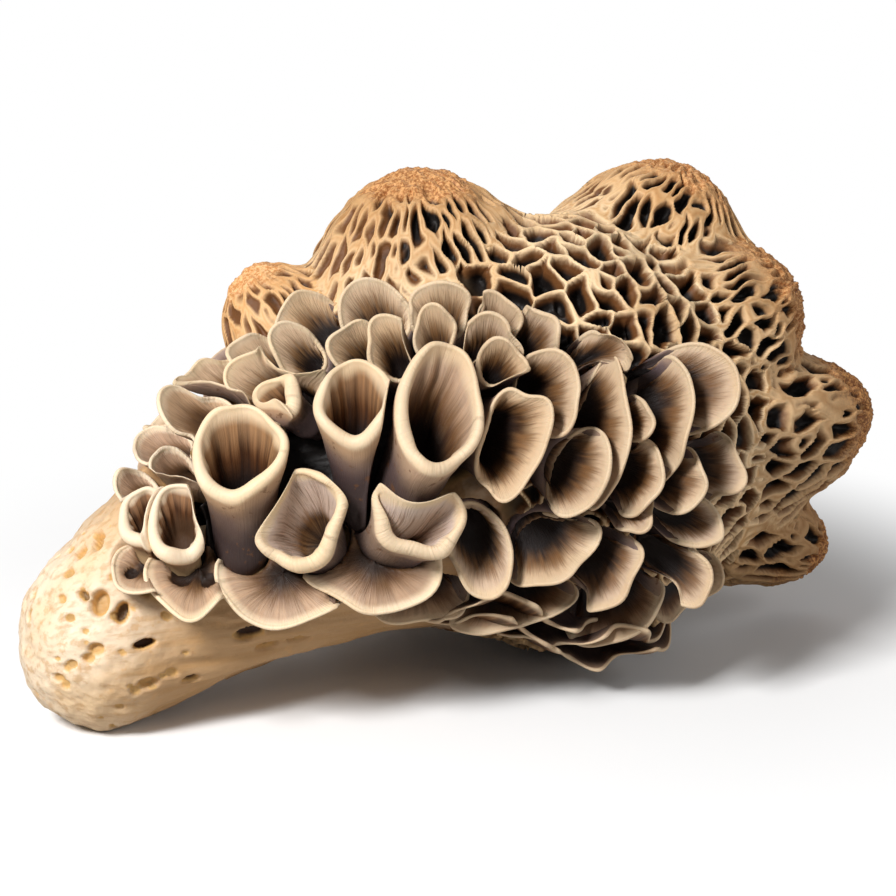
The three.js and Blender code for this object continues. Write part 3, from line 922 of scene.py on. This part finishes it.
# %% Holes in the stem
# station, angle, half length, half width, turn of the long axis, depth, darkness of the painted shade
HOLES = [
    (-69.3, 42, 3.0, 1.6, 55, 1.7, 0.35),
    (-66.3, 32, 2.6, 1.1, 50, 1.6, 0.7),
    (-71.3, 51, 1.3, 0.8, 90, 0.9, 0.6),
    (-66.9, 76, 2.7, 1.1, 60, 1.4, 0.4),
    (-69.8, 80, 1.8, 1.2, 60, 1.1, 0.3),
    (-63.3, 12, 2.3, 0.9, 10, 1.4, 1.0),
    (-62.9, -14, 2.1, 1.2, 15, 1.1, 0.2),
    (-55.3, -26, 1.7, 0.9, 20, 1.1, 0.8),
    (-45.5, -16, 2.7, 1.3, 10, 1.4, 0.9),
    (-41.6, -35, 2.2, 0.8, 10, 1.0, 0.5),
    (-36, -39, 2.4, 0.8, 10, 1.0, 0.6),
    (-71, 18, 1.6, 1.2, 0, 0.9, 0.15),
    (-72.3, 13, 1.3, 1.0, 0, 0.8, 0.15),
]


def dimples(grid):
    """Holes in the stem, the large ones from the table and small shallow ones: (depth, painted shade)."""
    count = 230
    x = rng.uniform(-79, -18, count)
    angle = rng.uniform(0, 360, count)
    keep = rng.uniform(0, 1, count) < np.where(x < -56, 1, 0.25)
    small = [(x, a, r * rng.uniform(0.8, 1.4), r, 0, 0.5 * r, rng.uniform(0, 0.35)) for x, a, r in zip(
        x[keep], angle[keep], rng.uniform(0.4, 1.1, keep.sum()))]
    depth, dark = np.zeros(grid.shape[:2]), np.zeros(grid.shape[:2])
    for x, angle, long, wide, turn, deep, tint in HOLES + small:
        centre = skin(x, angle)
        forward = unit(skin(x + 0.5, angle) - skin(x - 0.5, angle))
        around = unit(skin(x, angle + 1) - skin(x, angle - 1))
        cos, sin = math.cos(math.radians(turn)), math.sin(math.radians(turn))
        away = grid - centre
        u = away @ (forward * cos + around * sin) / long
        v = away @ (around * cos - forward * sin) / wide
        share = step(1.08, 0.7, np.sqrt(u**2 + v**2 + 0.03 * np.sum(away**2, -1)))
        depth = np.maximum(depth, share * deep * 1.4)
        # the painted shade in each hole, strongest at its middle
        dark = np.maximum(dark, share * (0.35 + 0.65 * tint))
    return depth, dark


print("large holes:", len(HOLES))

# %% [markdown]
# ## The body's skin
#
# Stem and head are one tube, but the honeycomb needs far smaller faces than the stem. So the tube is
# made as two pieces, and where they overlap, among the cups, each sinks away from the other. Their
# columns gather on the upper half, where most of the body shows.

# %% The loft
def spread(count, dense):
    """Places 0..1, closer together where dense(place) is larger: equal steps of its running sum."""
    fine = np.linspace(0, 1, 2000)
    total = np.cumsum(dense(fine))
    return np.interp(np.linspace(total[0], total[-1], count), total, fine)


def loft(first, last, count, columns):
    """The body's plain tube from station first to last, and its normals: rows at equal lengths along the
    centre line, each a ring of the radius, with the extra height on its upper half."""
    rows = body_rows(6000)
    rows = rows[(rows[:, 0] > first) & (rows[:, 0] < last)]
    length = np.concatenate([[0], np.cumsum(np.linalg.norm(np.diff(rows[:, [0, 2]], axis=0), axis=1))])
    places = np.linspace(0, length[-1], count)
    rows = np.stack([np.interp(places, length, column) for column in rows.T], -1)
    around = spread(columns + 1, lambda t: 0.35 + step(0.1, 0.16, t) * step(0.62, 0.5, t) + 0.9 * step(
        0.35, 0.4, t) * step(0.58, 0.5, t))[:-1]
    angle = around * 360 - 90
    up = np.sin(np.radians(angle))[None]
    z, r, top = (rows[:, n, None] for n in (1, 2, 3))
    base = np.stack(np.broadcast_arrays(
        rows[:, :1], -r * np.cos(np.radians(angle))[None], z + (r + top * np.maximum(up, 0)) * up), -1)
    middle = np.stack([rows[:, 0], 0 * rows[:, 0], rows[:, 1]], -1)[:, None]
    return base, grid_normals(base, base - middle + np.array([1e-3, 0, 0]))


# %% The body
def body_piece(name, first, last, count, columns):
    """One stretch of the body: the joined form less its pits, hollows, holes and the neighbour's room."""
    base, normal = loft(first, last, count, columns)
    grid, under = swell(base, normal, 0)
    normal = grid_normals(grid, normal)
    x = grid[..., 0]
    above = np.degrees(np.arctan2(grid[..., 2] - section(x)[0], -grid[..., 1]))
    sink = hollowed(grid)

    # honeycomb from the head on, fading out where cups sink the skin; ridges are thicker by the crown
    comb = step(-12, 6, x + 4 * noise(grid, 9, 3)) * (1 - step(0.5, 4, sink))
    crown = step(42, 55, x) * step(54, 48, grid[..., 2])
    depth, pit, edge = honeycomb(grid, 0.15 + 0.25 * crown, 1)

    # the stem, the painted shade on the skin between the cups, and the stem's holes and long furrows
    stem = 1 - step(-20, 2, x)
    cover = 82 - 1.9 * np.maximum(x + 14, 0)  # angle up to which the cups hide the skin
    # painted shade: the skin between and under the cups is drawn dark, below the angle they cover
    shaded = step(1.12, 0.9, np.hypot((x + 26) / 36, (above - 50) / 42)) * step(5, -3, above - cover)
    dimple, hole_and_shade = dimples(grid)
    lines = 0.8 * rough(grid * [0.12, 1, 1], 3.2, 5) * step(-68, -48, x) * (1 - comb)
    lines = lines + 0.35 * rough(grid, 3, 61) * step(-50, -70, x)

    # the piece's own end sinks under its neighbour
    joint = 3 * (step(-20, -21.8, x) if first > -50 else step(-19, -17.2, x))
    move = np.maximum(-comb * depth - sink - dimple * stem + lines - joint - 9 * under, -14)
    grid = grid + normal * move[..., None]
    grid[..., 2] = np.maximum(grid[..., 2], 0.0)  # flat where it rests
    # painted shade near black between the cups and at the bottoms of the cups' deep hollows
    painted_shade = np.maximum(shaded, step(3.5, 6, sink)) * 0.95
    stem_warm = step(-75, -52, grid[..., 0] + 5 * noise(grid, 9, 28))
    head_warm = 0.25 + 0.5 * noise(grid, 14, 27)
    values = {
        # the pits' depth, the holes' painted shade and the painted shade between the cups, all drawn dark
        "pit": np.maximum(np.maximum(comb * pit, hole_and_shade * stem), painted_shade),
        "tip": 0,
        "stem": stem * (1 - shaded),
        "dark": 0.5,
        "warm": np.where(grid[..., 0] < -10, stem_warm, head_warm),
        "edge": edge + 3 * step(0.7, 0.2, comb),
    }
    return closed_piece(name, grid, values, HONEYCOMB)


stem = body_piece("stem_skin", -80, -17, 190, 224)
head = body_piece("head_skin", -22, 67, 320, 290)
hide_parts("morel")
print("body:", len(stem.data.polygons), "and", len(head.data.polygons), "faces")

# %% [markdown]
# ## The caps
#
# A cap is a small dome of honeycomb with a rough brown tip. It is a spheroid whose poles are its tip and
# its foot, so that rows run down it as its long pits do. It is swollen onto the joined form like the
# body, carries the same honeycomb, and sinks away where the body or another cap covers it.

# %% Caps
def cap_piece(number, cap):
    """One cap: foot + axis*height*cos(polar) + ring*radius*sin(polar), swollen, less its pits."""
    foot, axis, height, side, other = cap_axes(cap)
    columns, rows = cap[3:5]
    polar = spread(rows, lambda t: 0.4 + 1.2 * step(0.95, 0.6, t)) * math.pi
    polar = polar[1:-1, None]
    # the share of a turn that faces the near side, where the columns gather
    facing = math.atan2(-other[1] - 0.4 * other[0], -side[1] - 0.4 * side[0]) / (2 * math.pi) % 1
    turn = spread(columns + 1, lambda t: 0.7 + 0.6 * np.cos((t - facing) * 2 * np.pi))[:-1]
    turn = turn[None] * 2 * np.pi
    ring = side * np.cos(turn)[..., None] + other * np.sin(turn)[..., None]
    base = foot + axis * (height * np.cos(polar))[..., None] + ring * (cap[2] * np.sin(polar))[..., None]
    normal = grid_normals(base, base - foot)
    base = base + normal * (0.7 * rough(base, 9, 40 + number, 2))[..., None]
    grid, under = swell(base, normal, number + 1)
    normal = grid_normals(grid, normal)
    # the pits are shallower where the cap faces the stem end
    deep = cap[6] * (0.3 + 0.7 * step(-0.75, -0.1, normal[..., 0]))
    depth, pit, edge = honeycomb(grid, 0.2, deep)
    crown = polar * (height + cap[2]) / 2 + 0.8 * noise(grid, 3, 21 + number)
    tip = step(cap[7], cap[7] * 0.6, crown + 4 * noise(grid, 5, 31) + 1.5 * noise(grid, 1.5, 32))
    open_pit = step(1.5, 7, crown) * (1 - 0.7 * tip)
    depth = depth * open_pit + tip * (0.4 * rough(grid, 1.1, 9) + 0.2)
    grid = grid - normal * np.minimum(depth + 9 * under, 11)[..., None]
    grid[..., 2] = np.maximum(grid[..., 2], 0.0)
    values = {
        "pit": pit * open_pit,
        "tip": tip,
        "stem": 0,
        "dark": cap[5],
        "warm": step(38, 10, crown + 7 * noise(grid, 8, 27)),
        "edge": edge,
    }
    return closed_piece(f"cap_{number + 1}", grid, values, HONEYCOMB)


for number, cap in enumerate(CAPS):
    cap_piece(number, cap)
print("caps:", len(CAPS))

# %% [markdown]
# ## Cups that meet
#
# Soft cups that grow against each other give way. A simulation could press them apart, but a rule is
# enough: of two cups that meet, the one with the higher rank gives way, and its wall is pushed sideways
# out of the other's tube. The deepest trumpets come first in rank, then the scales from the middle
# outward. A petal that runs under a tube is lowered instead.

# %% Cups that meet
def pressed(points, others):
    """Points pushed out of the room that other cups take: a point at a share below 1.3 of a tube's width
    moves out along its offset, to between 0.97 and 1.3 of the width."""
    for f in others:
        height, side, share = in_cup(f, points)
        full = np.where(share < 1.3, 0.97 + 0.33 * share / 1.3, share)
        weight = step(-f["depth"] * 1.1, -f["depth"] * 0.7, height) * step(14, 8, height)
        points = points + side * ((full / np.maximum(share, 0.05) - 1) * weight)[..., None]
    return points


def sunk(points, others):
    """Points of a petal lowered along a tube's facing, to nearly a depth below its mouth."""
    for f in others:
        height, _, share = in_cup(f, points)
        lower = np.maximum(height + 0.95 * f["depth"], 0) * step(0.98, 0.75, share) * step(12, 6, height)
        points = points - f["facing"] * lower[..., None]
    return points


# %% [markdown]
# ## The cups
#
# A cup could be a sheet with a Solidify modifier, but its lip would be as thin as its wall. One closed
# profile gives the lip its own roll: it is carried along the tube up the outside, over the lip and down
# the inside. The outline round the mouth is an uneven oval, fine pleats run down the inside, and the lip
# rises and falls in waves.

# %% Profile and outline of a cup
# For a trumpet, a scale and a petal: width inside at the root over that at the mouth, unevenness of the
# outline, height of the pleats, share of the lip's waves, and how much higher the far lip stands, in mm.
INNER_NARROW = (0.4, 0.34, 0.4)
WAVER = (0.11, 0.18, 0.14)
PLEAT = (0.36, 0.13, 0.1)
WAVES = (0.9, 0.7, 0.4)
FAR_LIP = (0.3, 1.2, 0.4)


def cup_profile(style):
    """Rows of a cup: share t of the way up the tube, roll over the lip 0..pi, and the zone, which is 0..1
    up the outside, 1 on the lip and up to 2 down the inside."""
    outer, lip, inner = (16, 9, 18) if style == TRUMPET else (11, 7, 14)
    floor = 0.8 if style == PETAL else 0.3
    t = np.concatenate([np.linspace(0, 1, outer), np.full(lip, 1.0), np.linspace(0.985, floor, inner)])
    roll = np.concatenate([np.zeros(outer), np.linspace(0, np.pi, lip + 2)[1:-1], np.full(inner, np.pi)])
    zone = np.concatenate([
        np.linspace(0, 0.96, outer), np.linspace(0.98, 1.02, lip), np.linspace(1.04, 2, inner)])
    return t[:, None], roll[:, None], zone[:, None]


def ripple(local, turn, height):
    """A random wave round the mouth: the sum of normal(height / k) * cos(k*turn + phase)."""
    return sum(local.normal(0, height / k) * np.cos(k * turn + local.uniform(0, 6.28))
               for k in (2, 3, 4, 5))


def ruffle(f):
    """How strongly a lip waves: most on the scales under the belly."""
    if f["style"] != SCALE or f["angle"] > 125:
        return 1.0
    return 1.7 if f["angle"] < -25 else 1.3


def unevenness(grid, t, height):
    """Offsets in mm that grow towards the lip: three noises, one for each axis."""
    noises = np.stack([rough(grid, 7, s, 2) for s in (71, 72, 73)], -1)
    return height * noises * step(0.2, 0.6, t)[..., None]


def petal_hole_shade(f, turn, inside, within):
    """Painted shade for the holes in a petal's inner face, 0..1: a step of the distance to each on the
    flattened face.
    """
    total = 0 * turn + 0 * inside
    for at, far in PETAL_HOLES.get(f["station"], []):
        u = (1 - inside) * np.cos(turn) - (1 - far) * math.cos(at)
        v = (1 - inside) * np.sin(turn) - (1 - far) * math.sin(at)
        total = total + step(0.42, 0.1, np.hypot(u, v)) * within
    return total


print("rows of a trumpet, a scale and a petal:", [len(cup_profile(style)[0]) for style in range(3)])

# %% Cups
def cup_piece(number, f, others):
    """One cup: path(t) + wide*a*cos(turn) + tall*b*sin(turn) + facing*rise, with a and b the half widths
    of the oval at t, and rise the lip's own height. Columns go round the tube."""
    style = f["style"]
    local = np.random.default_rng(100 + number)
    columns = 100 if f["depth"] > 10 and style == TRUMPET else 60 if f["angle"] < 125 else 40
    turn = (np.arange(columns) / columns * 2 * np.pi)[None]
    t, roll, zone = cup_profile(style)
    within = roll > 3  # the inner face
    inside = np.clip(zone - 1.04, 0, None) / 0.96
    inward = roll / np.pi

    # the outline: narrower down the tube, uneven round it, and closed at the floor
    if style == TRUMPET:
        thick = 0.45 + 0.9 * step(0.75, 1.0, t) * (0.5 + 0.5 * np.cos(turn - f["lower"]))
    else:
        thick = 0.38 + 0 * turn
    narrow = f["narrow"] * (1 - inward) + INNER_NARROW[style] * inward
    bell = (2.4 if style == TRUMPET else 1.5) * (1 - inward) + 2 * inward
    flare = (narrow + (1 - narrow) * t**bell) * (0.4 + 0.6 * step(0, 0.35, t))
    wobble = ripple(local, turn, WAVER[style])
    dent = f["dent"] * step(0.75, 0, np.abs(turn - 1.45 * np.pi)) * step(0.3, 0.9, t)
    outline = 1 + wobble * t - dent
    close = np.where(within, 1 - 0.97 * inside if style == PETAL else step(0.3, 0.45, t), 1)

    # pleats on the inner face, and the half widths
    count = local.integers(*((6, 9) if style == TRUMPET else (20, 28)))
    pleats = np.sin(turn * count + 2.5 * np.sin(turn * 2 + number) + t) * PLEAT[style] * (
        within) * step(0.35, 0.8, t) * step(1.0, 0.93, t)
    side = thick * np.cos(roll) + pleats
    a = (f["across"] * flare * outline + side) * close
    b = (f["along"] * flare * outline + side) * close

    # the lip's height: waves, a higher far side and a hanging lower one
    waves = ruffle(f) * ripple(local, turn, 1.0)
    low = f["drop"] * (0.5 - 0.5 * np.sin(turn))**1.3
    rise = (WAVES[style] * waves + FAR_LIP[style] * np.sin(turn) - low) * t**3 + thick * np.sin(roll)
    grid = tube_path(f, t) + f["facing"] * rise[..., None] + f["wide"] * (
        a * np.cos(turn))[..., None] + f["tall"] * (b * np.sin(turn))[..., None]
    grid = grid + unevenness(grid, t, 0.45)
    grid = pressed(grid, others) if style < PETAL else sunk(grid, others)
    grid[..., 2] = np.maximum(grid[..., 2], 0.0)
    if style == PETAL:
        # the holes are shallow dents painted near black as shade, through the throat's zone
        spot = petal_hole_shade(f, turn, inside, within)
        zone = np.where(within, 1.04 + 0.75 * inside + 0 * turn, zone)
        zone = np.maximum(zone, 2 * step(0.4, 0.8, spot))
        grid = grid - f["facing"] * (1.4 * spot)[..., None]
    shade = (1.6 * (1 - f["amber_and_shade"]), local.uniform(0, 0.8), 0.9)[style]
    values = {"zone": zone, "turn": turn, "shade": shade, "tone_and_painted_light": f["tone_and_painted_light"], "light": f["light"],
              "amber_and_shade": f["amber_and_shade"]}
    return closed_piece(f"cup_{number + 1}", grid, values, CUP)


for number, mine in enumerate(FRAMES):
    others = [f for f in FRAMES if f["rank"] < mine["rank"]
              and np.linalg.norm(f["mouth"] - mine["mouth"]) < 12 + f["along"] + mine["along"]]
    cup_piece(number, mine, others)
print("cups:", len(FRAMES))

# %% [markdown]
# ## The frills
#
# Below the cups, long wavy sheets run along the belly. Each stands out of the skin and curls up into
# a trough, and its angle round the body swings to and fro along its length. A cloth simulation could
# ruffle them, but two sines of different length do it with no wait, and the same on every run.

# %% Frills
# first and last station, angle at each, height, number of waves
FRILLS = [
    (-26, 20, -41, -41, 6, 2.5),
    (-20, 34, -49, -45, 7, 3),
    (-8, 38, -58, -53, 6.5, 2.5),
]


def frill_piece(number, row):
    """One sheet as a closed grid: rows go along the body, columns up the outside and down the inside."""
    first, last, start, end, height, waves = row
    place = np.linspace(0, 1, 150)[:, None]
    t = np.concatenate([np.linspace(0, 1, 12), np.ones(7), np.linspace(0.96, 0, 14)])[None]
    roll = np.concatenate([np.zeros(12), np.linspace(0, np.pi, 9)[1:-1], np.full(14, np.pi)])[None]
    # the outside ends at 0.8 of the zone, so the cup skin's painted foot shade darkens it up to the lip
    zone = np.concatenate([np.linspace(0, 0.8, 12), np.linspace(0.96, 1.03, 7), np.linspace(1.1, 2, 14)])

    def sheet(place, t):
        ends = step(0, 0.3, place) * step(1, 0.72, place)
        along = first + (last - first) * place
        wave = np.sin(2 * np.pi * waves * place + 2.2 * number + np.sin(5 * place + number))
        fine = np.sin(2 * np.pi * 2.3 * waves * place + 1.3 * number)
        angle = start + (end - start) * place + (3 + 9 * t**1.6 + (5 * wave + 1.6 * fine) * t**1.3) * ends
        lift = -3 + (1.5 + (height + 1.5) * (0.85 + 0.15 * fine) * ends) * t**0.8
        return skin(along + 0 * t, angle, lift)

    tiny = 1e-3
    upward = unit(sheet(place, t + tiny) - sheet(place, t - tiny * (t > tiny)))
    onward = unit(sheet(place + tiny, t) - sheet(place - tiny, t))
    thick = 0.42
    grid = sheet(place, t)
    grid = grid + np.cross(upward, onward) * (thick * np.cos(roll))[..., None] + upward * (
        thick * np.sin(roll))[..., None]
    grid = grid + unevenness(grid, t, 0.4)
    grid[..., 2] = np.maximum(grid[..., 2], 0.3)  # clear of the floor
    turn = (first + (last - first) * place) / 6  # so that the fine lines are spaced along the sheet
    # the frills under the belly are darkened as painted shade by the amber share and the far-side tone
    values = {"zone": zone, "turn": turn, "tone_and_painted_light": 1, "light": 0, "amber_and_shade": 0.9, "shade": 0.2}
    return closed_piece(f"frill_{number + 1}", grid, values, CUP)


for number, row in enumerate(FRILLS):
    frill_piece(number, row)
print("frills:", len(FRILLS))

# %% [markdown]
# ## Floor and lamps
#
# The mushroom lies on white. A white floor under a lamp is never even, so away from the object the floor
# fades into a glow of pure white, which only the camera sees. One strong lamp high on the left draws the
# pits, and two weak ones, in front on the right and behind, open their shadows. The strong lamp is
# small, because ridges this fine need a firm shadow.

# %% Floor and lamps
def floor_material():
    """A white floor that fades into the white background away from the object."""
    g = Graph("floor")
    camera = g.node("ShaderNodeLightPath", "Is Camera Ray")
    paint = g.mix(camera, (0.5, 0.48, 0.45), (0.93, 0.93, 0.93))  # greyer for the light it throws back
    diffuse = g.node("ShaderNodeBsdfDiffuse", 0, {"Color": paint})
    white = g.node("ShaderNodeEmission", 0, {"Color": (1, 1, 1, 1), "Strength": 1.0})
    far = g.node("ShaderNodeVectorMath", "Value", {0: g.place()}, operation="LENGTH")
    share = far.ramp(0.08, 0.14) * camera
    g.node_out(g.node("ShaderNodeMixShader", 0, {0: share, 1: diffuse, 2: white}))
    return g.material


def plane(name, size, material):
    """A square of the floor."""
    mesh = bpy.data.meshes.new(name)
    s = size / 2
    mesh.from_pydata([(-s, -s, 0), (s, -s, 0), (s, s, 0), (-s, s, 0)], [], [(0, 1, 2, 3)])
    mesh.materials.append(material)
    piece = bpy.data.objects.new(name, mesh)
    bpy.context.collection.objects.link(piece)
    return piece


def area_light(name, place, aim, size, power):
    """A square lamp at a place, aimed at a point."""
    lamp = bpy.data.lights.new(name, "AREA")
    lamp.size, lamp.energy = size, power
    piece = bpy.data.objects.new(name, lamp)
    piece.location = place
    piece.rotation_euler = (Vector(aim) - Vector(place)).to_track_quat("-Z", "Y").to_euler()
    bpy.context.collection.objects.link(piece)


plane("floor", 6, floor_material())
area_light("key", (-0.6, -0.3, 0.62), (0, 0, 0.04), 0.24, 9.9)
area_light("fill", (0.55, -0.5, 0.35), (0, 0, 0.04), 0.5, 1.5)
area_light("rim", (0.3, 0.6, 0.5), (0, 0, 0.05), 0.5, 1.0)
print("lamps in watts:", {lamp.name: round(lamp.energy, 1) for lamp in bpy.data.lights})

# %% [markdown]
# The world gives a weak light from all round. The camera sees it as white instead, through a mix on the
# Light Path node, so that the background is plain.

# %% World
world = bpy.data.worlds.new("world")
bpy.context.scene.world = world
world.use_nodes = True
nodes, links = world.node_tree.nodes, world.node_tree.links
nodes.clear()
soft = nodes.new("ShaderNodeBackground")
soft.inputs["Strength"].default_value = 0.15
white = nodes.new("ShaderNodeBackground")
path = nodes.new("ShaderNodeLightPath")
mix = nodes.new("ShaderNodeMixShader")
out = nodes.new("ShaderNodeOutputWorld")
for background in (soft, white):
    background.inputs["Color"].default_value = (1, 1, 1, 1)
links.new(path.outputs["Is Camera Ray"], mix.inputs[0])
links.new(soft.outputs[0], mix.inputs[1])
links.new(white.outputs[0], mix.inputs[2])
links.new(mix.outputs[0], out.inputs[0])
print("strength of the light from all round:", round(soft.inputs["Strength"].default_value, 2))

# %% [markdown]
# The camera looks down on the near side, a little from the stem end. A long lens from half a metre keeps
# the near cups from looking larger than they are.

# %% Camera
TURN, RISE, AWAY = math.radians(-25), math.radians(18), 0.52  # round, up and in metres
aim = (np.array([0, 0, 40]) - MIDDLE) / 1000
back = np.array([math.sin(TURN) * math.cos(RISE), -math.cos(TURN) * math.cos(RISE), math.sin(RISE)])
camera = bpy.data.objects.new("camera", bpy.data.cameras.new("camera"))
camera.data.lens, camera.data.sensor_width = 117, 36
camera.data.clip_start = 0.01
camera.location = aim + back * AWAY
camera.rotation_euler = Vector(-back).to_track_quat("-Z", "Y").to_euler()
bpy.context.collection.objects.link(camera)
bpy.context.scene.camera = camera
bpy.context.scene.view_settings.view_transform = "Standard"
print("camera's place in metres:", [round(value, 3) for value in camera.location])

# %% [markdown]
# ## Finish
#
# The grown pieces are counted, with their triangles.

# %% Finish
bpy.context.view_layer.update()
grown = [mesh for mesh in bpy.data.meshes if set(mesh.materials) & {HONEYCOMB, CUP}]
count = sum(len(mesh.loops) - 2 * len(mesh.polygons) for mesh in grown)
print("pieces:", len(grown), "with", count, "triangles")
